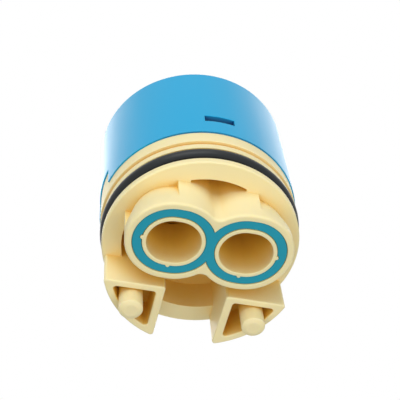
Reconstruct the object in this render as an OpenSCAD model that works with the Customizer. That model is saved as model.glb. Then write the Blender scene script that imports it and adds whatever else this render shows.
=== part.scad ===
// Single-lever ceramic disc tap cartridge with raised inlets, 40 mm class.
// The origin is on the axis, in the plane of the inlet face that lies on the tap body.
// +Z points to the lever, -Y to the two inlets, and the lever is at rest in its closed place.

/* [Housing] */
// Outside diameter of the housing
housing_d = 40; // [39:0.5:44]
// Height of the skirt from its rim to the clamping shoulder
housing_h = 24.4; // [23:0.1:27]
// Wall of the skirt
housing_wall = 1.9; // [1.6:0.1:2.2]
// Thickness of the roof under the clamping shoulder
roof_t = 3.3; // [2.8:0.1:4]
// Outside diameter of the collar
collar_d = 31; // [30:0.5:33]
// Height of the collar above the shoulder
collar_h = 6; // [5:0.1:8]
// Small bevel on the edges of shoulder and collar
housing_bevel = 0.4; // [0.2:0.1:0.8]
// Width of the two snap windows
window_w = 6; // [4:0.5:8]
// Height of the snap windows
window_h = 2; // [1.6:0.1:2.4]
// Height of the snap windows above the rim
window_up = 4.2; // [3.5:0.1:5]
// Width of the two keys that stop the housing turning on the base
key_w = 8.8; // [5:0.2:10]
// Height of the keys above the rim
key_h = 4.4; // [2:0.1:5]

/* [Base] */
// Height of the flange face above the inlet face
flange_up = 7.7; // [6:0.1:9]
// Step from the housing in to the flange, on the radius
flange_step = 0.6; // [0.3:0.1:1]
// Step from the housing in to the upper band, on the radius
band_step = 0.25; // [0.25:0.05:0.4]
// Thickness of the lower flange
flange_h = 1.45; // [1:0.05:2]
// Bevel on the lower edge of the flange
flange_bevel = 0.25; // [0.2:0.05:0.6]
// Width of the groove for the body ring
groove_w = 3.6; // [3.2:0.1:4.2]
// Height of the land above the groove
land_h = 1.45; // [1:0.05:2]
// Height of the narrow groove between the land and the upper band
score_h = 0.6; // [0.4:0.1:0.8]
// Depth of the narrow groove, on the radius
score_in = 0.6; // [0.4:0.1:0.8]
// Height of the upper band below the housing rim
band_h = 3.1; // [2.5:0.1:4]
// Wall between the ring groove and the outlet chamber
chamber_wall = 1.58; // [1.2:0.02:2]
// Depth of the outlet chamber from the flange face
chamber_depth = 7.3; // [6.5:0.1:7.6]
// Thickness of the plate that carries the discs
plate_t = 3; // [2.6:0.1:3.6]
// Wall of the spigot inside the housing
spigot_wall = 1.6; // [1.4:0.1:1.8]
// Reach of the snap lugs into the windows
lug_out = 0.6; // [0.4:0.1:0.9]

/* [Inlets] */
// Distance between the two inlets
inlet_pitch = 13.9; // [13:0.1:14.4]
// Distance of the inlets in front of the axis
inlet_front = 5.35; // [5:0.05:5.8]
// Radius of an inlet port
port_r = 4.7; // [4:0.05:4.8]
// Half of the length that each oval port is wider than it is deep
port_stretch = 0.45; // [0.2:0.05:0.6]
// Wall between a port and the seal
port_wall = 0.8; // [0.7:0.05:1.2]
// Width of the inlet seal
seal_w = 1.9; // [1.4:0.1:2]
// Wall outside the inlet seal
boss_wall = 1.35; // [1.1:0.05:1.6]
// Depth of the groove for the inlet seal
seal_depth = 2.2; // [1.8:0.1:2.6]
// Depth of the seal's face below the inlet face
seal_sink = 0.18; // [0.1:0.02:0.3]
// Radius of the small nubs that hold the seal in its groove
nub_r = 0.4; // [0.3:0.05:0.5]
// Rounding of the boss edge
boss_round = 0.5; // [0.3:0.05:0.7]
// Undercut of the boss corners at the flange face
relief_in = 1.4; // [0.8:0.1:1.8]
// Height at which the undercut runs out
relief_up = 2.6; // [2:0.1:4]
// Distance of the undercut from the middle of the lobe
relief_side = 0.4; // [0.2:0.1:1]
// Rounding of the waist between the two lobes of the boss
waist_round = 2; // [1:0.1:3]
// Rounding of the corners where the boss meets the wall of the outlet chamber
corner_round = 0.4; // [0.3:0.05:0.6]

/* [Feet] */
// Distance of the feet from the middle plane
foot_side = 6; // [5.6:0.1:7]
// Distance of the feet behind the axis
foot_back = 5.5; // [5.2:0.05:6]
// Step from the flange in to the feet, on the radius
foot_step = 0.4; // [0.3:0.1:1]
// Inner wall of a foot
foot_wall = 1.65; // [1:0.05:1.8]
// Front and outer wall of a foot
foot_wall_outer = 1.4; // [1.3:0.05:1.5]
// Rounding of the corners of the feet
foot_round = 0.6; // [0.5:0.1:1]
// Depth of the hollow in a foot
pocket_depth = 7; // [4:0.1:7.4]
// Diameter of the locating pegs
peg_d = 4.65; // [4:0.05:4.8]
// Distance between the pegs
peg_pitch = 24.2; // [23.8:0.1:24.6]
// Distance of the pegs behind the axis
peg_back = 9.5; // [9.4:0.1:9.6]
// Length of the pegs below the inlet face
peg_h = 3.4; // [3:0.1:5]
// Length of the tapered peg tip
peg_tip = 0.4; // [0.3:0.1:1]

/* [Rings] */
// Section of the body ring
body_ring_d = 2.62; // [2.4:0.02:2.8]
// Section of the neck ring
neck_ring_d = 1.6; // [1.4:0.1:1.8]
// Thickness of the thrust ring
thrust_t = 1.2; // [0.8:0.1:1.6]

/* [Discs] */
// Thickness of the fixed disc
fixed_t = 4.5; // [4:0.1:5]
// Thickness of the moving disc
moving_t = 4.5; // [4:0.1:5]
// Gap left between the moving disc and the spigot at the end of its travel
moving_gap = 0.8; // [0.5:0.1:1.2]
// Radius of the circle on which the three disc ports lie
ports_r = 7.6; // [7.4:0.1:7.8]
// Width of the curved ports in the fixed disc
slot_w = 4.2; // [3.6:0.1:4.4]
// Radius of the round ports in the base plate
plate_port_r = 3.5; // [3:0.1:3.6]
// Depth of the mixing hollow in the moving disc
hollow_depth = 2.6; // [2:0.1:3]
// Depth of the groove for the disc seal
disc_seal_depth = 1.4; // [1:0.1:1.6]
// Width of the disc seal
disc_seal_w = 1.8; // [1.6:0.1:2]

/* [Lever] */
// Width of the square lever
lever_w = 8; // [7:0.5:9]
// Length of the lever above its pin
lever_up = 20.5; // [18:0.5:26]
// Bevel on the lever's edges
lever_bevel = 0.6; // [0.3:0.1:1]
// Diameter of the lever pin
pin_d = 3.2; // [2.8:0.1:3.6]
// Drop of the lever pin below the shoulder
pin_drop = 1.3; // [1:0.1:1.5]
// Full tilt of the lever, from closed to open
tilt_range = 24; // [18:1:26]
// Full turn of the lever, from cold to hot
turn_range = 100; // [70:5:110]
// Radius of the ball shoe at the lower end of the lever
shoe_r = 3; // [2.8:0.1:3.2]
// Wall of the ball shoe
shoe_wall = 0.6; // [0.5:0.05:0.8]

/* [Carrier and turret] */
// Thickness of the carrier's plate
carrier_t = 3; // [2.6:0.1:3.4]
// Height of the carrier's guide block
block_h = 2.9; // [2.6:0.1:3.2]
// Width of the guide block
block_w = 13; // [11:0.5:14]
// Radius of the turret's neck
neck_r = 12; // [11.5:0.1:12.4]
// Reach of the stop lug beyond the neck
stop_out = 1.6; // [1:0.1:1.8]

/* [Clearances] */
// Gap between housing and base
fit_gap = 0.1; // [0.05:0.05:0.2]
// Gap between the turret and what it turns in
turn_gap = 0.15; // [0.1:0.05:0.25]
// Gap beside the lever and beside the guide block
slide_gap = 0.12; // [0.08:0.02:0.2]
// Gap between parts stacked on each other
stack_gap = 0.05; // [0.02:0.01:0.1]
// Gap round the discs and seals in their seats
seat_gap = 0.2; // [0.1:0.05:0.3]

/* [Hidden] */
$fn = 96;
// Overlap that joins solids of one piece, and overshoot of cuts
lap = 0.5;
// Slight overlap where a rounding runs into a wall
bite = 0.05;

// Radii of the shells
housing_r = housing_d / 2;
bore_r = housing_r - housing_wall;
collar_r = collar_d / 2;
collar_bore_r = neck_r + turn_gap;
flange_r = housing_r - flange_step;
band_r = housing_r - band_step;
spigot_r = bore_r - fit_gap;
seat_r = spigot_r - spigot_wall;

// Levels from the flange up to the housing rim
groove_z = flange_up + flange_h;
land_z = groove_z + groove_w;
score_z = land_z + land_h;
band_z = score_z + score_h;
rim_z = band_z + band_h;
ceiling_z = flange_up + chamber_depth;
plate_z = ceiling_z + plate_t;
shoulder_z = rim_z + housing_h;
roof_z = shoulder_z - roof_t;
collar_z = shoulder_z + collar_h;
window_z = rim_z + window_up;
lug_lead = 0.6;
spigot_z = window_z + window_h + lug_lead;

// Body ring, which lies against the upper wall of its groove
body_ring_r = body_ring_d / 2;
body_ring_z = land_z - 2 * stack_gap - body_ring_r;
body_ring_inset = 0.2;
groove_r = housing_r - body_ring_inset - body_ring_d - stack_gap;
body_ring_mid = groove_r + stack_gap + body_ring_r;
chamber_r = groove_r - chamber_wall;

// Radii round an inlet
inner_wall_r = port_r + port_wall;
seal_r = inner_wall_r + seal_w;
boss_r = seal_r + boss_wall;
inlet_x = inlet_pitch / 2;
lobe_in = inlet_x - port_stretch;
lobe_out = inlet_x + port_stretch;
port_floor_t = 1.8;
port_floor_z = ceiling_z - port_floor_t;

waist_reach = sqrt(pow(boss_r + waist_round - bite, 2) - lobe_in * lobe_in);

// Feet and pegs
foot_r = flange_r - foot_step;
peg_x = peg_pitch / 2;
peg_tip_r = 0.3 * peg_d;
peg_draft = 0.15;
peg_root_r = peg_d / 2 + peg_draft;
peg_root_z = -0.1;

// Stack of discs, carrier and turret
fixed_z = plate_z + 2 * stack_gap;
moving_z = fixed_z + fixed_t + stack_gap / 2;
carrier_z = moving_z + moving_t + stack_gap / 2;
carrier_top_z = carrier_z + carrier_t;
block_z = carrier_top_z + block_h;
flange_bottom_z = block_z + seat_gap;
turret_bottom_z = carrier_top_z + seat_gap;
thrust_z = roof_z - stack_gap - thrust_t;
flange_top_z = thrust_z - stack_gap;
fixed_r = seat_r - seat_gap;
fixed_rib_r = 1.3;
turret_r = bore_r - 2 * seat_gap;
thrust_out = turret_r - seat_gap;
thrust_in = neck_r + turn_gap + seat_gap;

// Lever: the pin's height, the arm down to the ball, and the closed place of the carrier
pin_z = shoulder_z - pin_drop;
pin_r = pin_d / 2;
pin_gap = 0.04;
ball_drop = 1.6;
arm = pin_z - (block_z - ball_drop);
tilt = tilt_range / 2;
closed_y = arm * sin(tilt);
tail_wall = 3.2;
tail = pin_r + tail_wall;
shank_r = 1.9;
ball_r = shoe_r - shoe_wall;
shoe_gap = 0.03;
shoe_top = 1.2;
shank_z = shoe_top + seat_gap - arm;
socket_floor_z = block_z - ball_drop - shoe_r - seat_gap;

// Moving disc and carrier, which stay clear of the spigot over their travel
moving_r = seat_r - closed_y - moving_gap;
carrier_lip = 0.6;
carrier_r = moving_r + carrier_lip;
drive_w = 4;
drive_in = 2.4;
drive_h = 2.4;

// Neck ring, stop lug and the slot that the lever swings in
neck_ring_r = neck_ring_d / 2;
neck_groove_w = neck_ring_d + 2 * seat_gap;
neck_groove_r = collar_bore_r - neck_ring_d - 2 * stack_gap;
stop_h = 1.9;
stop_half = 10;
stop_play = 0.6;
neck_ring_z = collar_z - stop_h - seat_gap - neck_groove_w;
stop_r = neck_r + stop_out;
pin_half = neck_r - seat_gap;

// Directions of the two inlets and of the outlet on the discs
inlet_dirs = [210, 330];
outlet_dir = 90;
inlet_half = 12;
outlet_half = 22;
seal_land = 0.3;
throat_wide = 1.25;
loop_wall = 1.3;
loop_in_r = plate_port_r + loop_wall;
loop_out_r = loop_in_r + disc_seal_w;

cream = [0.95, 0.88, 0.70];
blue = [0.15, 0.60, 0.83];
teal = [0.09, 0.46, 0.58];
rubber = [0.12, 0.13, 0.14];
ceramic = [0.93, 0.93, 0.91];
white_plastic = [0.90, 0.90, 0.88];
brass = [0.78, 0.66, 0.38];
steel = [0.70, 0.71, 0.73];

// Point on the given side where a circle about the origin meets one about c, with radii r0 and r1
function circles_meet(c, r0, r1, side) =
    let (along = (c * c + r0 * r0 - r1 * r1) / (2 * norm(c)), across = sqrt(r0 * r0 - along * along))
    (along * c + side * across * [-c[1], c[0]]) / norm(c);

// Disc of radius r, drawn out sideways by stretch
module oval(r, stretch) {
    for (side = [-1, 1])
        translate([side * stretch, 0]) circle(r);
    square([2 * stretch, 2 * r], center = true);
}

// Both ovals of an inlet pair
module oval_pair(r) {
    for (side = [-1, 1])
        translate([side * inlet_x, -inlet_front]) oval(r, port_stretch);
}

// Half outline of a round boss with a rounded lower edge
module boss_profile(r, h, round) {
    translate([0, round]) square([r, h - round]);
    square([r - round, h]);
    translate([r - round, round]) circle(round);
}

// Oval boss with a rounded lower edge
module oval_boss(r, stretch, h, round) {
    for (side = [-1, 1])
        translate([side * stretch, 0, 0]) rotate_extrude() boss_profile(r, h, round);
    rotate([90, 0, 90]) linear_extrude(2 * stretch, center = true) {
        boss_profile(r, h, round);
        mirror([1, 0]) boss_profile(r, h, round);
    }
}

// Region x >= x0, y >= y0 inside radius r, with its three corners rounded
module corner_sector(r, x0, y0, round) {
    x = x0 + round;
    y = y0 + round;
    far_x = sqrt(pow(r - round, 2) - y * y);
    far_y = sqrt(pow(r - round, 2) - x * x);
    reach = 2;
    intersection() {
        circle(r);
        polygon([[x, y], [far_x, y], reach * [far_x, y], reach * [r, r], reach * [x, far_y], [x, far_y]]);
    }
    translate([x0, y]) square([round, far_y - y]);
    translate([x, y0]) square([far_x - x, round]);
    for (corner = [[x, y], [far_x, y], [x, far_y]])
        translate(corner) circle(round);
}

// Curved slot with round ends on a circle of radius r
module arc_slot(r, width, half_angle, h) {
    rotate([0, 0, -half_angle])
        rotate_extrude(angle = 2 * half_angle) translate([r - width / 2, 0]) square([width, h]);
    for (side = [-1, 1])
        rotate([0, 0, side * half_angle]) translate([r, 0, 0]) cylinder(h = h, d = width);
}

// Ring of round section
module ring(mid_r, section_r, z) {
    translate([0, 0, z]) rotate_extrude() translate([mid_r, 0]) circle(section_r);
}

// Three-loop outline of the disc seal, grown by gap
module seal_loops(gap) {
    difference() {
        for (dir = concat(inlet_dirs, outlet_dir))
            rotate(dir) translate([ports_r, 0]) circle(loop_out_r + gap);
        for (dir = concat(inlet_dirs, outlet_dir))
            rotate(dir) translate([ports_r, 0]) circle(loop_in_r - gap);
    }
}

// Places of the nubs on the inner walls of the seal groove: outer side and far side of each port
module at_nubs() {
    for (side = [-1, 1]) {
        translate([side * (inlet_x + port_stretch + inner_wall_r), -inlet_front, 0]) children();
        translate([side * inlet_x, -inlet_front + inner_wall_r, 0]) children();
    }
}

// Skirt, roof and collar in one shell, open at the rim, with snap windows and key slots
module housing() {
    color(blue) difference() {
        rotate_extrude() polygon([
            [bore_r, rim_z], [housing_r, rim_z],
            [housing_r, shoulder_z - housing_bevel], [housing_r - housing_bevel, shoulder_z],
            [collar_r, shoulder_z],
            [collar_r, collar_z - housing_bevel], [collar_r - housing_bevel, collar_z],
            [collar_bore_r, collar_z], [collar_bore_r, roof_z], [bore_r, roof_z]]);
        translate([-window_w / 2, -housing_r - lap, window_z])
            cube([window_w, 2 * (housing_r + lap), window_h]);
        translate([-housing_r - lap, -key_w / 2 - fit_gap, rim_z - lap])
            cube([2 * (housing_r + lap), key_w + 2 * fit_gap, key_h + fit_gap + lap]);
        stop_room();
    }
}

// Room in the collar's edge for the stop lug, which ends the turn both ways
module stop_room() {
    half = turn_range / 2 + stop_half + stop_play;
    translate([0, 0, collar_z - stop_h - seat_gap])
        rotate([0, 0, outlet_dir - half])
            rotate_extrude(angle = 2 * half)
                translate([collar_bore_r - lap, 0])
                    square([stop_r + seat_gap - collar_bore_r + lap, stop_h + seat_gap + lap]);
}

// Revolved body of the base: flange, ring groove, bands, disc plate and spigot
module base_body() {
    rotate_extrude() polygon([
        [0, ceiling_z], [chamber_r, ceiling_z], [chamber_r, flange_up],
        [flange_r - flange_bevel, flange_up], [flange_r, flange_up + flange_bevel],
        [flange_r, groove_z], [groove_r, groove_z], [groove_r, land_z], [flange_r, land_z],
        [flange_r, score_z], [flange_r - score_in, score_z], [flange_r - score_in, band_z],
        [band_r, band_z], [band_r, rim_z - fit_gap], [spigot_r, rim_z - fit_gap],
        [spigot_r, spigot_z - lug_lead], [spigot_r - lug_lead, spigot_z],
        [seat_r, spigot_z], [seat_r, plate_z], [0, plate_z]]);
}

// Figure-of-eight boss round the inlets, undercut at its two front corners
module inlet_boss() {
    relief_turn = asin(relief_side / boss_r);
    difference() {
        for (side = [-1, 1])
            translate([side * inlet_x, -inlet_front, 0])
                oval_boss(boss_r, port_stretch, ceiling_z + lap, boss_round);
        for (side = [-1, 1])
            translate([side * lobe_out, -inlet_front, 0])
                rotate([0, 0, side < 0 ? 180 : 270 + relief_turn])
                    rotate_extrude(angle = 90 - relief_turn) polygon([
                        [boss_r, relief_up], [boss_r + lap, relief_up],
                        [boss_r + lap, flange_up + bite], [boss_r - relief_in, flange_up + bite]]);
    }
}

// Fill of the waist between the lobes: hollowed by a round column at mid, with the boss's lower rounding
module waist_fill(mid) {
    difference() {
        linear_extrude(ceiling_z + lap)
            polygon([[-lobe_in, -inlet_front], [lobe_in, -inlet_front], mid]);
        translate(mid) rotate_extrude() {
            square([waist_round, ceiling_z + 2 * lap]);
            translate([0, -lap]) square([waist_round + boss_round, lap]);
            difference() {
                translate([waist_round - bite, -bite]) square(boss_round + bite);
                translate([waist_round + boss_round, boss_round]) circle(boss_round);
            }
        }
    }
}

// Fill of a corner of the outlet chamber between its wall and the lobe about [lobe, -inlet_front];
// side is the side of that lobe on which the corner lies
module corner_fill(lobe, side) {
    middle = [lobe, -inlet_front];
    tip = circles_meet(middle, chamber_r, boss_r, side);
    mid = circles_meet(middle, chamber_r - corner_round + bite, boss_r + corner_round - bite, side);
    meets_wall = norm(middle) + boss_r > chamber_r;
    if (meets_wall) translate([0, 0, flange_up]) linear_extrude(ceiling_z + lap - flange_up) difference() {
        polygon([mid, mid * (chamber_r + lap) / norm(mid), tip + lap * (tip - mid) / norm(tip - mid),
                 mid + (corner_round + lap) * (middle - mid) / norm(middle - mid)]);
        translate(mid) circle(corner_round);
    }
}

// Foot on the +X side
module foot() {
    linear_extrude(ceiling_z + lap) corner_sector(foot_r, foot_side, foot_back, foot_round);
}

// Room for the boss and the feet: all of the flange below its face, the outlet chamber above it
module stand_room() {
    rotate_extrude() polygon([
        [0, -lap], [housing_r, -lap], [housing_r, flange_up + lap], [chamber_r + lap, flange_up + lap],
        [chamber_r + lap, ceiling_z + 2 * lap], [0, ceiling_z + 2 * lap]]);
}

// Hollow of the +X foot
module foot_pocket() {
    translate([0, 0, -lap]) linear_extrude(pocket_depth + lap)
        corner_sector(foot_r - foot_wall_outer, foot_side + foot_wall, foot_back + foot_wall_outer,
                      foot_round);
}

// Locating peg on the +X side: straight below the foot, on a root with draft inside it
module peg() {
    translate([peg_x, peg_back, 0]) rotate_extrude() polygon([
        [0, -peg_h], [peg_tip_r, -peg_h], [peg_d / 2, peg_tip - peg_h], [peg_d / 2, peg_root_z],
        [peg_root_r, pocket_depth + lap], [0, pocket_depth + lap]]);
}

// Snap lugs for the windows, keys for the rim slots, and ribs that hold the fixed disc
module base_locks() {
    lug_half = asin((window_w / 2 - fit_gap) / spigot_r);
    for (dir = [90, 270])
        rotate([0, 0, dir - lug_half]) rotate_extrude(angle = 2 * lug_half) polygon([
            [spigot_r - lap, window_z + fit_gap], [spigot_r + lug_out, window_z + fit_gap],
            [spigot_r + lug_out, window_z + window_h / 2], [spigot_r - lap, window_z + window_h]]);
    translate([0, 0, rim_z - fit_gap - lap]) linear_extrude(key_h + fit_gap + lap) intersection() {
        difference() {
            circle(band_r - stack_gap);
            circle(spigot_r - lap);
        }
        square([2 * housing_r, key_w], center = true);
    }
    for (side = [-1, 1])
        translate([side * seat_r, 0, plate_z - lap])
            cylinder(h = fixed_t + lap, r = fixed_rib_r);
}

// Moulded base: inlets, outlet chamber, feet with locating pegs, and the seat of the discs
module base() {
    color(cream) {
        difference() {
            union() {
                base_body();
                base_locks();
                intersection() {
                    union() {
                        inlet_boss();
                        for (side = [-1, 1]) {
                            waist_fill([0, side * waist_reach - inlet_front]);
                            corner_fill(side * lobe_in, -side);
                            corner_fill(side * lobe_out, side);
                        }
                        foot();
                        mirror([1, 0, 0]) foot();
                    }
                    stand_room();
                }
            }
            translate([0, 0, -lap]) linear_extrude(port_floor_z + lap) oval_pair(port_r);
            translate([0, 0, -lap]) linear_extrude(seal_depth + lap) difference() {
                oval_pair(seal_r);
                oval_pair(inner_wall_r);
            }
            for (dir = inlet_dirs)
                rotate([0, 0, dir]) translate([ports_r, 0, port_floor_z - lap])
                    cylinder(h = plate_z - port_floor_z + 2 * lap, r = plate_port_r);
            rotate([0, 0, outlet_dir]) translate([ports_r, 0, ceiling_z - lap])
                cylinder(h = plate_t + 2 * lap, r = plate_port_r + lap);
            translate([0, 0, plate_z - disc_seal_depth]) linear_extrude(disc_seal_depth + lap)
                seal_loops(stack_gap);
            foot_pocket();
            mirror([1, 0, 0]) foot_pocket();
        }
        at_nubs() cylinder(h = seal_depth + lap, r = nub_r);
        peg();
        mirror([1, 0, 0]) peg();
    }
}

// Large ring that seals the base in the tap body
module body_ring() {
    color(rubber) ring(body_ring_mid, body_ring_r, body_ring_z);
}

// Figure-of-eight seal of the inlets, notched for the nubs
module inlet_seal() {
    color(teal) difference() {
        translate([0, 0, seal_sink]) linear_extrude(seal_depth - seal_sink) difference() {
            oval_pair(seal_r - stack_gap);
            oval_pair(inner_wall_r + stack_gap);
        }
        at_nubs() translate([0, 0, -lap]) cylinder(h = seal_depth + 2 * lap, r = nub_r + stack_gap);
    }
}

// Three-loop seal between the base plate and the fixed disc
module disc_seal() {
    color(rubber) translate([0, 0, plate_z - disc_seal_depth])
        linear_extrude(fixed_z - plate_z + disc_seal_depth) seal_loops(0);
}

// Fixed ceramic disc with two curved inlets and the outlet, notched for the ribs of its seat
module fixed_disc() {
    color(ceramic) translate([0, 0, fixed_z]) difference() {
        cylinder(h = fixed_t, r = fixed_r);
        for (dir = inlet_dirs)
            rotate([0, 0, dir]) translate([0, 0, -lap])
                arc_slot(ports_r, slot_w, inlet_half, fixed_t + 2 * lap);
        rotate([0, 0, outlet_dir]) translate([0, 0, -lap])
            arc_slot(ports_r, slot_w, outlet_half, fixed_t + 2 * lap);
        for (side = [-1, 1])
            translate([side * seat_r, 0, -lap])
                cylinder(h = fixed_t + 2 * lap, r = fixed_rib_r + seat_gap);
    }
}

// Moving ceramic disc with its blind mixing hollow, notched for the carrier's drive lugs
module moving_disc() {
    hollow_r = ports_r - slot_w / 2 - seal_land;
    throat_w = slot_w + 2 * throat_wide;
    color(ceramic) translate([0, closed_y, moving_z]) difference() {
        cylinder(h = moving_t, r = moving_r);
        translate([0, -closed_y, -lap]) cylinder(h = hollow_depth + lap, r = hollow_r);
        translate([-throat_w / 2, -closed_y, -lap])
            cube([throat_w, ports_r + slot_w / 2, hollow_depth + lap]);
        for (side = [-1, 1])
            translate([side * (moving_r - drive_in / 2 + lap), 0, moving_t])
                cube([drive_in + 2 * lap, drive_w + 2 * slide_gap, 2 * (drive_h + slide_gap)],
                     center = true);
    }
}

// Carrier that grips the moving disc and slides in the turret's channel
module disc_carrier() {
    color(cream) translate([0, closed_y, 0]) difference() {
        union() {
            translate([0, 0, carrier_z]) cylinder(h = carrier_t, r = carrier_r);
            translate([0, 0, carrier_top_z + block_h / 2 - lap / 2])
                intersection() {
                    cube([block_w, 2 * carrier_r, block_h + lap], center = true);
                    cylinder(h = block_h + lap, r = carrier_r - 2 * lap, center = true);
                }
            translate([0, 0, carrier_z - drive_h]) linear_extrude(drive_h + lap) intersection() {
                difference() {
                    circle(moving_r);
                    circle(moving_r - drive_in + slide_gap + lap);
                }
                square([2 * carrier_r, drive_w], center = true);
            }
        }
        translate([0, 0, socket_floor_z])
            cylinder(h = block_z - socket_floor_z + lap, r = shoe_r + slide_gap / 2);
    }
}

// Turret: turns in the collar, carries the lever on its pin, and guides the carrier from below
module turret() {
    color(white_plastic) difference() {
        union() {
            translate([0, 0, turret_bottom_z])
                cylinder(h = flange_bottom_z - turret_bottom_z + lap, r = carrier_r);
            translate([0, 0, flange_bottom_z]) cylinder(h = flange_top_z - flange_bottom_z, r = turret_r);
            translate([0, 0, flange_top_z - lap]) cylinder(h = collar_z - flange_top_z + lap, r = neck_r);
            translate([0, 0, collar_z - stop_h]) rotate([0, 0, outlet_dir - stop_half])
                rotate_extrude(angle = 2 * stop_half)
                    translate([neck_r - lap, 0]) square([stop_out + lap, stop_h]);
        }
        translate([-block_w / 2 - slide_gap, -housing_r, turret_bottom_z - lap])
            cube([block_w + 2 * slide_gap, 2 * housing_r, flange_bottom_z - turret_bottom_z + lap]);
        lever_slot();
        translate([-neck_r - lap, 0, pin_z]) rotate([0, 90, 0])
            cylinder(h = 2 * (neck_r + lap), r = pin_r + pin_gap / 4);
        translate([0, 0, neck_ring_z - neck_groove_w / 2]) rotate_extrude()
            translate([neck_groove_r, 0]) square([neck_r - neck_groove_r + lap, neck_groove_w]);
    }
}

// Slot that the lever swings in, waisted at the pin
module lever_slot() {
    function half_at(rise) = lever_w / 2 / cos(tilt) + rise * tan(tilt) + 2 * slide_gap;
    half_w = lever_w / 2 + slide_gap;
    top = collar_z - pin_z + lap;
    low = turret_bottom_z - pin_z - lap;
    translate([-half_w, 0, pin_z]) rotate([90, 0, 90]) linear_extrude(2 * half_w) polygon([
        [half_at(0), 0], [half_at(top), top], [-half_at(top), top],
        [-half_at(0), 0], [-half_at(tail), -tail], [-half_at(tail), low],
        [half_at(tail), low], [half_at(tail), -tail]]);
}

// Low-friction ring between the turret's flange and the roof
module thrust_ring() {
    color(white_plastic) translate([0, 0, thrust_z]) difference() {
        cylinder(h = thrust_t, r = thrust_out);
        translate([0, 0, -lap]) cylinder(h = thrust_t + 2 * lap, r = thrust_in);
    }
}

// Ring in the turret's neck that gives the turn its feel and keeps grease in
module neck_ring() {
    color(rubber) ring(neck_groove_r + stack_gap + neck_ring_r, neck_ring_r, neck_ring_z);
}

// What moves with the lever, leaning into its closed place about the pin
module lean() {
    translate([0, 0, pin_z]) rotate([tilt, 0, 0]) children();
}

// Square lever with a tapered shank and a ball below its pin
module lever() {
    color(brass) lean() difference() {
        union() {
            intersection() {
                translate([-lever_w / 2, -lever_w / 2, -tail]) cube([lever_w, lever_w, tail + lever_up]);
                lever_top_bevel();
            }
            translate([0, 0, shank_z])
                cylinder(h = lap - tail - shank_z, r1 = shank_r, r2 = lever_w / 2 - lap);
            translate([0, 0, -arm]) cylinder(h = arm + shank_z + lap, r = shank_r);
            translate([0, 0, -arm]) sphere(ball_r);
        }
        translate([-lever_w / 2 - lap, 0, 0]) rotate([0, 90, 0])
            cylinder(h = lever_w + 2 * lap, r = pin_r + pin_gap);
    }
}

// Two crossed prisms that leave a beveled end on the square lever
module lever_top_bevel() {
    half = lever_w / 2;
    outline = [[-half - lap, -tail - lap], [half + lap, -tail - lap],
               [half + lap, lever_up - lever_bevel - lap], [half - lever_bevel, lever_up],
               [lever_bevel - half, lever_up], [-half - lap, lever_up - lever_bevel - lap]];
    intersection_for (turn = [0, 90])
        rotate([0, 0, turn]) rotate([90, 0, 0])
            linear_extrude(2 * lever_w, center = true) polygon(outline);
}

// Pin on which the lever tilts
module lever_pin() {
    color(steel) translate([-pin_half, 0, pin_z]) rotate([0, 90, 0]) cylinder(h = 2 * pin_half, r = pin_r);
}

// Slippery shoe snapped on the lever's ball
module ball_shoe() {
    color(white_plastic) lean() translate([0, 0, -arm]) difference() {
        sphere(shoe_r);
        sphere(ball_r + shoe_gap);
        translate([-shoe_r, -shoe_r, shoe_top]) cube(2 * shoe_r);
    }
}

housing();
base();
body_ring();
inlet_seal();
disc_seal();
fixed_disc();
moving_disc();
disc_carrier();
turret();
thrust_ring();
neck_ring();
lever();
lever_pin();
ball_shoe();
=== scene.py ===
from math import pi, radians

import bpy
from mathutils import Matrix, Vector


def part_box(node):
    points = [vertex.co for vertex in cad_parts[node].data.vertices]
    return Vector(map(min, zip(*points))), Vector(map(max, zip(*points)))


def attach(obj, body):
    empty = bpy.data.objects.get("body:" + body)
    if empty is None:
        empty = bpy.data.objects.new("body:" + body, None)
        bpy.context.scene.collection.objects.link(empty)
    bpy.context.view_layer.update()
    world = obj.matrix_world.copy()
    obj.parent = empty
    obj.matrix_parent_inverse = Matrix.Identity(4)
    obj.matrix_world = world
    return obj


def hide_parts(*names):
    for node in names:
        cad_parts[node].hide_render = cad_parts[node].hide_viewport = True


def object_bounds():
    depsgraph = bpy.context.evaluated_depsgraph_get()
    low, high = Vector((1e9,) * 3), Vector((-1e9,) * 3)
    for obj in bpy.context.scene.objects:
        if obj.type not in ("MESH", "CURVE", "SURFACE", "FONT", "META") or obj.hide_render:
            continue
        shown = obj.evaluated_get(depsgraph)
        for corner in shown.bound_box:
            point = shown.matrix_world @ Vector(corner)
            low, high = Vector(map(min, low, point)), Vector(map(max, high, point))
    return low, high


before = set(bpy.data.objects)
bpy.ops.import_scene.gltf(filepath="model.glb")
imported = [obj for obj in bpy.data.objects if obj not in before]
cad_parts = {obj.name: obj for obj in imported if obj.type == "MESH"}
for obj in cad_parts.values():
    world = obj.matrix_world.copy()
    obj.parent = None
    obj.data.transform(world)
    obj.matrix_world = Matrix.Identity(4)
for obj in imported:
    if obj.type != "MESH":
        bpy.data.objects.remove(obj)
cad_box = [list(corner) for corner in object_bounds()]

# Base: one injection moulding in cream acetal, with the inlet boss, the outlet chamber, two hollow feet
# with their locating pegs and the seat of the discs. The mould leaves a small radius on every outer edge
# and a fine spark texture on its faces, and the acetal lets light a little way in.
mm = 0.001


def take(piece):
    """Makes this piece the only one that is selected, and the active one."""
    bpy.ops.object.select_all(action="DESELECT")
    piece.select_set(True)
    bpy.context.view_layer.objects.active = piece


def piece_from(node, name):
    """A new piece with the shape of a node: its triangles are joined and its flat faces made whole."""
    piece = bpy.data.objects.new(name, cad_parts[node].data.copy())
    bpy.context.scene.collection.objects.link(piece)
    take(piece)
    bpy.ops.mesh.customdata_custom_splitnormals_clear()
    bpy.ops.object.mode_set(mode="EDIT")
    bpy.ops.mesh.select_all(action="SELECT")
    bpy.ops.mesh.remove_doubles(threshold=0.001 * mm)
    bpy.ops.mesh.dissolve_limited(angle_limit=radians(0.5))
    bpy.ops.object.mode_set(mode="OBJECT")
    return piece


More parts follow.
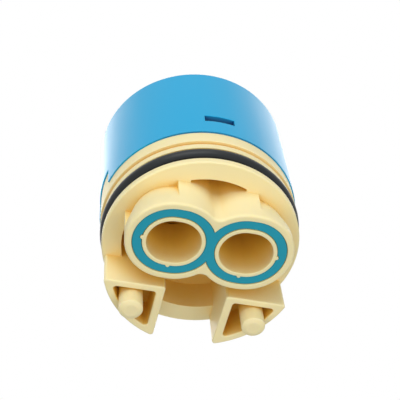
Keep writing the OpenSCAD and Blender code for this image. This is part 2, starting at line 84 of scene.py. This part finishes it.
def round_edges(piece, radius, share_at):
    """Rounds sharp outer edges to this radius, times the share that share_at gives for an edge's middle."""
    sharp = radians(35)
    take(piece)
    bpy.ops.object.mode_set(mode="EDIT")
    bpy.ops.mesh.select_mode(type="EDGE")
    bpy.ops.mesh.select_all(action="DESELECT")
    bpy.ops.mesh.edges_select_sharp(sharpness=sharp)
    bpy.ops.object.mode_set(mode="OBJECT")
    mesh = piece.data
    facing = {}
    for face in mesh.polygons:
        for start, end in zip(face.vertices, [*face.vertices[1:], face.vertices[0]]):
            facing[start, end] = face.normal
    weights = mesh.attributes.new("bevel_weight_edge", "FLOAT", "EDGE")
    for edge in mesh.edges:
        if edge.select:
            first, second = edge.vertices
            start, end = mesh.vertices[first].co, mesh.vertices[second].co
            inward = facing[first, second].cross(end - start)
            if inward.dot(facing[second, first]) < 0:
                weights.data[edge.index].value = share_at((start + end) / 2)
    rounding = piece.modifiers.new("rounding", "BEVEL")
    rounding.limit_method = "WEIGHT"
    rounding.width = radius
    rounding.segments = 3
    rounding.use_clamp_overlap = False
    bpy.ops.object.modifier_apply(modifier="rounding")
    bpy.ops.object.shade_smooth_by_angle(angle=sharp)
    shading = piece.modifiers.new("shading", "WEIGHTED_NORMAL")
    shading.keep_sharp = True
    bpy.ops.object.modifier_apply(modifier="shading")


class Wire:
    """A socket in a material's nodes. Arithmetic on it adds Math nodes, and node() adds any other kind."""

    def __init__(self, tree, socket=None):
        self.tree = tree
        self.socket = socket

    def node(self, kind, settings, sockets, output=0):
        made = self.tree.nodes.new("ShaderNode" + kind)
        for name, value in settings.items():
            setattr(made, name, value)
        for name, value in sockets.items():
            if isinstance(value, Wire):
                self.tree.links.new(value.socket, made.inputs[name])
            else:
                made.inputs[name].default_value = value
        return Wire(self.tree, made.outputs[output] if made.outputs else None)

    def maths(self, operation, first, second):
        return self.node("Math", {"operation": operation}, {0: first, 1: second})

    def __add__(self, other):
        return self.maths("ADD", self, other)

    def __radd__(self, other):
        return self.maths("ADD", other, self)

    def __mul__(self, other):
        return self.maths("MULTIPLY", self, other)

    def __rmul__(self, other):
        return self.maths("MULTIPLY", other, self)


def new_finish(name):
    """An empty material, with the wire that adds nodes to it and a wire of the places on the piece."""
    finish = bpy.data.materials.new(name)
    finish.use_nodes = True
    finish.node_tree.nodes.clear()
    nodes = Wire(finish.node_tree)
    return finish, nodes, nodes.node("TexCoord", {}, {}, "Object")


def surface(nodes, sockets):
    """Ends a material in one Principled shader with these sockets."""
    shader = nodes.node("BsdfPrincipled", {}, sockets)
    nodes.node("OutputMaterial", {}, {"Surface": shader})


def noise(place, size, detail=2.0):
    """Cloudy noise from 0 to 1 with spots of about this size."""
    return place.node("TexNoise", {}, {"Vector": place, "Scale": 1 / size, "Detail": detail})


def tint(factor, first, second):
    """A colour that goes from the first to the second with the factor."""
    colours = {0: factor, 6: (*first, 1), 7: (*second, 1)}
    return factor.node("Mix", {"data_type": "RGBA"}, colours, 2)


def openness(nodes, reach, open_from):
    """From 0 deep in a hollow to 1 where the surroundings within reach are open by this share or more; it
    sets where shade is painted into a colour.
    """
    deep_to = 0.05
    clear_share = nodes.node("AmbientOcclusion", {"samples": 8}, {"Distance": reach}, "AO")
    return nodes.node("MapRange", {"interpolation_type": "SMOOTHSTEP"},
                      {"Value": clear_share, "From Min": deep_to, "From Max": open_from})


def relief(height, depth):
    """The normal of a surface whose height goes up and down by about this depth."""
    return height.node("Bump", {}, {"Height": height, "Distance": depth, "Strength": 1.0})


base = piece_from("base", "base_moulding")

# Each peg's flat tip gets a ring and a middle point, which keep the shading of the rounded rim off the tip.
peg_tip_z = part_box("base")[0].z
tip_play = 0.01 * mm
tip_ring_w = 0.15 * mm
bpy.ops.object.mode_set(mode="EDIT")
bpy.ops.mesh.select_mode(type="FACE")
bpy.ops.mesh.select_all(action="DESELECT")
bpy.ops.object.mode_set(mode="OBJECT")
for face in base.data.polygons:
    face.select = face.center.z < peg_tip_z + tip_play
bpy.ops.object.mode_set(mode="EDIT")
bpy.ops.mesh.inset(thickness=tip_ring_w)
bpy.ops.mesh.poke()
bpy.ops.object.mode_set(mode="OBJECT")

# These heights and places tell the edges of the pegs, feet, boss, flange and top apart.
peg_root_z = -0.1 * mm
inlet_face_z = 0.02 * mm
boss_round_z = 0.5 * mm
flange_edge_z = 8.1 * mm
foot_x = 5 * mm
foot_y = 4 * mm
foot_outer_r = 17 * mm
foot_radius = 0.32 * mm
foot_wall_share = 0.9
peg_and_port_share = 0.6
step_share = 0.13
top_share = 0.4


def base_edge_share(middle):
    """Full radius on the feet, less on pegs and ports, little on steps, none on the boss's own round."""
    on_foot = abs(middle.x) > foot_x and middle.y > foot_y
    if middle.z < peg_root_z:
        return peg_and_port_share
    if middle.z < inlet_face_z:
        return 1.0 if on_foot else peg_and_port_share
    if on_foot and middle.z < flange_edge_z and middle.xy.length < foot_outer_r:
        return foot_wall_share
    if middle.z < boss_round_z:
        return 0.0
    return step_share if middle.z < flange_edge_z else top_share


round_edges(base, foot_radius, base_edge_share)

cream, nodes, place = new_finish("cream_acetal")
cloud = noise(place, 9 * mm)
grain = noise(place, 0.16 * mm)
# Painted shade: the colour turns deep orange-brown in the hollows and creases, by how enclosed they are.
surface(nodes, {
    "Base Color": tint(openness(nodes, 14 * mm, 0.75), (0.84, 0.51, 0.06), (0.90, 0.785, 0.445)),
    "Roughness": 0.42 + 0.12 * cloud,
    "Normal": relief(grain, 0.003 * mm),
    "IOR": 1.48,
    "Specular IOR Level": 0.15,
    "Subsurface Weight": 0.25,
    "Subsurface Radius": (1.0, 0.8, 0.4),
    "Subsurface Scale": 1.2 * mm,
})
base.data.materials.clear()
base.data.materials.append(cream)
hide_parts("base")
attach(base, "cartridge_body")

# Inlet seal: a flat figure-of-eight ring of teal silicone, pressed into its groove in the boss and held
# by four small nubs. Its lips are rounded, and the faces have the soft matt skin of a moulded rubber.
inlet_seal = piece_from("inlet_seal", "inlet_seal_silicone")
round_edges(inlet_seal, 0.22 * mm, lambda middle: 1.0)

teal, nodes, place = new_finish("teal_silicone")
cloud = noise(place, 3 * mm)
grain = noise(place, 0.12 * mm)
surface(nodes, {
    "Base Color": tint(cloud, (0.006, 0.270, 0.375), (0.010, 0.310, 0.420)),
    "Roughness": 0.42 + 0.14 * cloud,
    "Normal": relief(grain, 0.004 * mm),
    "IOR": 1.42,
})
inlet_seal.data.materials.clear()
inlet_seal.data.materials.append(teal)
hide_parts("inlet_seal")
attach(inlet_seal, "cartridge_body")

# Body ring: a black nitrile ring stretched into the groove of the base. The two halves of its mould meet
# at its widest and narrowest circles and leave a hair of flash there.
ring_low, ring_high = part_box("body_ring")
ring_section = (ring_high.z - ring_low.z) / 2
ring_middle = ring_high.x - ring_section
flash_w = 0.16 * mm
flash_up = 0.03 * mm
circle_play = 0.001 * mm
bpy.ops.object.select_all(action="DESELECT")
bpy.ops.mesh.primitive_torus_add(
    major_radius=ring_middle, minor_radius=ring_section, major_segments=180, minor_segments=40,
    location=(0, 0, (ring_low.z + ring_high.z) / 2))
body_ring = bpy.context.object
body_ring.name = "body_ring_rubber"
bpy.ops.object.transform_apply(location=True)

# Each of the two circles is first widened to a band, and then the band's middle line is drawn out as flash.
for circle, way in ((ring_middle + ring_section, 1), (ring_middle - ring_section, -1)):
    for is_ridge in (False, True):
        bpy.ops.object.mode_set(mode="EDIT")
        bpy.ops.mesh.select_mode(type="VERT")
        bpy.ops.mesh.select_all(action="DESELECT")
        bpy.ops.object.mode_set(mode="OBJECT")
        for vertex in body_ring.data.vertices:
            vertex.select = abs(vertex.co.xy.length - circle) < circle_play
        bpy.ops.object.mode_set(mode="EDIT")
        if is_ridge:
            grow = 1 + way * flash_up / circle
            bpy.ops.transform.resize(value=(grow, grow, 1), center_override=(0, 0, 0))
        else:
            bpy.ops.mesh.select_mode(type="EDGE")
            bpy.ops.mesh.bevel(offset=flash_w / 2, segments=2, affect="EDGES")
        bpy.ops.object.mode_set(mode="OBJECT")
bpy.ops.object.shade_smooth_by_angle(angle=radians(40))

rubber, nodes, place = new_finish("black_nitrile")
cloud = noise(place, 4 * mm)
grain = noise(place, 0.1 * mm, 4.0)
surface(nodes, {
    "Base Color": tint(cloud, (0.008, 0.010, 0.011), (0.014, 0.017, 0.019)),
    "Roughness": 0.34 + 0.14 * cloud,
    "Normal": relief(grain, 0.006 * mm),
    "IOR": 1.5,
    "Specular IOR Level": 0.3,
})
body_ring.data.materials.append(rubber)
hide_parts("body_ring")
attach(body_ring, "cartridge_body")

# Disc seal: a three-loop ring of the same black nitrile, moulded flat. It is pressed into its groove in the
# base's plate and seals the ports to the fixed disc, out of sight.


def wear(node, finish):
    """Gives a node that keeps its own mesh this finish."""
    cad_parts[node].material_slots[0].material = finish


wear("disc_seal", rubber)

# Discs: sintered alumina, lapped to a dull mirror where the two slide on each other. The body is a cool
# white with fine grey specks.
ceramic, nodes, place = new_finish("lapped_alumina")
cloud = noise(place, 6 * mm)
specks = noise(place, 0.2 * mm, 4.0)
surface(nodes, {
    "Base Color": tint(specks, (0.80, 0.80, 0.78), (0.90, 0.90, 0.88)),
    "Roughness": 0.16 + 0.12 * cloud,
    "Normal": relief(specks, 0.001 * mm),
    "IOR": 1.76,
})
wear("fixed_disc", ceramic)
wear("moving_disc", ceramic)

# Carrier: moulded in the base's acetal. It grips the moving disc by two lugs, holds the lever's ball in its
# socket and slides in the turret.
wear("disc_carrier", cream)

# Lever: square brass bar with rounded drawn edges, turned at its lower end to a shank with a ball. The
# drawing leaves fine lines along it, and handling has dulled it in patches.
lean = radians(12)
lever = piece_from("lever", "lever_bar")
round_edges(lever, 0.25 * mm, lambda middle: 1.0)

brass, nodes, place = new_finish("drawn_brass")
along = place.node("Mapping", {}, {"Vector": place, "Rotation": (-lean, 0, 0), "Scale": (1, 1, 0.015)})
lines = noise(along, 0.12 * mm, 3.0)
cloud = noise(place, 5 * mm, 3.0)
surface(nodes, {
    "Base Color": tint(cloud, (0.56, 0.36, 0.12), (0.70, 0.48, 0.19)),
    "Metallic": 1.0,
    "Roughness": 0.22 + 0.14 * lines + 0.14 * cloud,
    "Normal": relief(lines, 0.004 * mm),
})
lever.data.materials.clear()
lever.data.materials.append(brass)
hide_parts("lever")
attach(lever, "lever")

# Ball shoe: a cup of white low-friction plastic, moulded and snapped on the lever's ball, so that the ball
# runs quietly in the socket of the carrier.
slip, nodes, place = new_finish("waxy_white_plastic")
cloud = noise(place, 4 * mm)
surface(nodes, {
    "Base Color": tint(cloud, (0.80, 0.80, 0.77), (0.88, 0.88, 0.86)),
    "Roughness": 0.42 + 0.12 * cloud,
    "IOR": 1.38,
    "Subsurface Weight": 0.3,
    "Subsurface Radius": (1.0, 0.9, 0.8),
    "Subsurface Scale": 1.0 * mm,
})
wear("ball_shoe", slip)

# Turret: white acetal, moulded in one with its flange, its neck and the stop lug. It turns in the collar
# and carries the lever in a slot across its top.
turret = piece_from("turret", "turret_moulding")
round_edges(turret, 0.15 * mm, lambda middle: 1.0)

white, nodes, place = new_finish("white_acetal")
cloud = noise(place, 7 * mm)
grain = noise(place, 0.15 * mm)
surface(nodes, {
    "Base Color": tint(cloud, (0.78, 0.78, 0.75), (0.84, 0.84, 0.82)),
    "Roughness": 0.36 + 0.12 * cloud,
    "Normal": relief(grain, 0.003 * mm),
    "IOR": 1.48,
    "Subsurface Weight": 0.15,
    "Subsurface Radius": (1.0, 0.9, 0.7),
    "Subsurface Scale": 0.8 * mm,
})
turret.data.materials.clear()
turret.data.materials.append(white)
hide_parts("turret")
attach(turret, "turret")

# Lever pin: a steel pin pressed across the turret, on which the lever tilts. It is ground to size, which
# leaves fine rings around it.
steel, nodes, place = new_finish("ground_steel")
around = place.node("Mapping", {}, {"Vector": place, "Scale": (1, 0.02, 0.02)})
rings = noise(around, 0.1 * mm, 3.0)
surface(nodes, {
    "Base Color": tint(rings, (0.56, 0.57, 0.58), (0.64, 0.65, 0.66)),
    "Metallic": 1.0,
    "Roughness": 0.20 + 0.16 * rings,
    "Normal": relief(rings, 0.002 * mm),
})
wear("lever_pin", steel)

# Neck ring and thrust ring: a thin nitrile ring in the neck that gives the turn its feel, and a flat
# washer of waxy plastic between the turret's flange and the roof of the housing.
wear("neck_ring", rubber)
wear("thrust_ring", slip)

# Housing: a glossy blue moulding that snaps over the base. Two lugs of the base catch in its windows and
# two keys stand in the slots of its rim. Its skirt fits the bore of the tap and its shoulder is clamped.
housing = piece_from("housing", "housing_moulding")
rim_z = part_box("housing")[0].z
rim_play = 0.02 * mm
round_edges(housing, 0.15 * mm, lambda middle: float(middle.z > rim_z + rim_play))

# Corners on the round walls take the circle's own normal, because the long triangles there shade unevenly.
round_wall = 0.99
corner_normals = [corner.vector.copy() for corner in housing.data.corner_normals]
for face in housing.data.polygons:
    for loop in face.loop_indices:
        spot = housing.data.vertices[housing.data.loops[loop].vertex_index].co
        outward = Vector((spot.x, spot.y, 0)).normalized()
        faces_out = face.normal.dot(outward)
        if abs(faces_out) > round_wall:
            corner_normals[loop] = outward if faces_out > 0 else -outward
housing.data.normals_split_custom_set(corner_normals)

blue, nodes, place = new_finish("glossy_blue_plastic")
upright = place.node("Mapping", {}, {"Vector": place, "Scale": (1, 1, 0.25)})
flow = noise(upright, 6 * mm)
peel = noise(place, 0.5 * mm)

# Painted shade darkens the hollows to navy. The rim and the key slots at the sides are spared it and stay
# pale: painted light there.
key_slot_top = rim_z + 4.8 * mm
side_from = 4 * mm
side_to = 14 * mm
aside = nodes.maths("ABSOLUTE", nodes.node("SeparateXYZ", {}, {"Vector": place}, "X"), 0)
height = nodes.node("SeparateXYZ", {}, {"Vector": place}, "Z")
at_side = nodes.node("MapRange", {}, {"Value": aside, "From Min": side_from, "From Max": side_to})
at_rim = nodes.maths("LESS_THAN", height, key_slot_top)
painted_brightness = nodes.maths("MAXIMUM", openness(nodes, 6 * mm, 0.95), at_side * at_rim)
surface(nodes, {
    "Base Color": tint(painted_brightness, (0.010, 0.050, 0.240), (0.008, 0.380, 0.680)),
    "Roughness": 0.30 + 0.10 * flow,
    "Normal": relief(peel, 0.004 * mm),
    "IOR": 1.52,
    "Specular IOR Level": 0.25,
})
housing.data.materials.clear()
housing.data.materials.append(blue)
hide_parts("housing")
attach(housing, "cartridge_body")

# Floor: a pale round board, a hair under the pegs, that fades into the white surroundings. Seen from below
# it lets the view through, and lamps shine past it, because the picture is taken from under the cartridge.
floor_r = 0.5
fade_from = 0.09
fade_to = 0.30
floor_gap = 0.05 * mm
bpy.ops.object.select_all(action="DESELECT")
bpy.ops.mesh.primitive_circle_add(vertices=96, radius=floor_r, fill_type="NGON",
                                  location=(0, 0, cad_box[0][2] - floor_gap))
floor = bpy.context.object
floor.name = "floor"
board, nodes, place = new_finish("pale_board")
distance = nodes.node("VectorMath", {"operation": "LENGTH"}, {0: place}, "Value")
fade = nodes.node("MapRange", {"interpolation_type": "SMOOTHSTEP"},
                  {"Value": distance, "From Min": fade_from, "From Max": fade_to})
below = nodes.node("NewGeometry", {}, {}, "Backfacing")
gone = nodes.maths("MAXIMUM", fade, below)
matt = nodes.node("BsdfDiffuse", {}, {"Color": (0.93, 0.93, 0.93, 1)})
clear = nodes.node("BsdfTransparent", {}, {})
mixed = nodes.node("MixShader", {}, {0: gone, 1: matt, 2: clear})
nodes.node("OutputMaterial", {}, {"Surface": mixed})
floor.data.materials.append(board)
floor.visible_shadow = False
floor.visible_diffuse = False
floor.visible_glossy = False

# Surroundings: white wherever the camera, a reflection or a see-through path meets them, and a soft grey
# light on the surfaces.
ambient = 0.28
world = bpy.data.worlds.new("surroundings")
world.use_nodes = True
world.node_tree.nodes.clear()
nodes = Wire(world.node_tree)
seen = nodes.node("LightPath", {}, {}, "Is Camera Ray")
mirrored = nodes.node("LightPath", {}, {}, "Is Glossy Ray")
through = nodes.node("LightPath", {}, {}, "Is Transmission Ray")
shown = nodes.maths("MAXIMUM", nodes.maths("MAXIMUM", seen, mirrored), through)
sky = nodes.node("Background", {}, {"Color": (1, 1, 1, 1), "Strength": ambient + (1 - ambient) * shown})
nodes.node("OutputWorld", {}, {"Surface": sky})
bpy.context.scene.world = world

# Lamps: a large soft box in front of the inlets, one above and behind that draws the sheen down the sides
# of the housing, with one on the right for reflections alone, and two fills from below, left and right of
# the camera, that leave no reflections.


def soft_box(name, direction, distance, size, level):
    """A square lamp, turned to the part, that lights a face turned to it to this level of its colour."""
    lamp = bpy.data.lights.new(name, "AREA")
    lamp.size = size
    lamp.energy = level * pi * pi * distance * distance
    box = bpy.data.objects.new(name, lamp)
    bpy.context.scene.collection.objects.link(box)
    towards = Vector(direction).normalized()
    box.location = aim + distance * towards
    box.rotation_euler = towards.to_track_quat("Z", "Y").to_euler()
    return box


aim = Vector((0.62, -0.62, 22.95)) * mm
soft_box("front_box", (-0.31, -0.89, 0.05), distance=0.5, size=0.35, level=0.53)
soft_box("top_box", (-0.02, 0.50, 0.85), distance=0.6, size=0.5, level=0.75)
right_sheen = soft_box("right_sheen", (0.42, 0.25, 0.85), distance=0.6, size=0.4, level=0.22)
right_sheen.visible_diffuse = False
left_fill = soft_box("left_fill", (-0.52, -0.42, -0.75), distance=0.6, size=0.5, level=0.38)
left_fill.visible_glossy = False
right_fill = soft_box("right_fill", (0.45, -0.40, -0.80), distance=0.6, size=0.5, level=0.40)
right_fill.visible_glossy = False

# Camera: it looks up at the inlet end from in front and below, turned and rolled a little, at the distance
# and with the lens that give the picture's perspective.
azimuth = radians(-18.79)
elevation = radians(-55.44)
roll = radians(-6.21)
camera_distance = 202.32 * mm
camera_data = bpy.data.cameras.new("camera")
camera_data.lens = 87.42
camera_data.sensor_width = 36
camera = bpy.data.objects.new("camera", camera_data)
bpy.context.scene.collection.objects.link(camera)
turned = (Matrix.Rotation(azimuth, 4, "Z") @ Matrix.Rotation(pi / 2 - elevation, 4, "X")
          @ Matrix.Rotation(roll, 4, "Z"))
camera.matrix_world = Matrix.Translation(aim) @ turned @ Matrix.Translation((0, 0, camera_distance))
camera_data.clip_start = 1 * mm
bpy.context.scene.camera = camera
bpy.context.scene.view_settings.view_transform = "Standard"
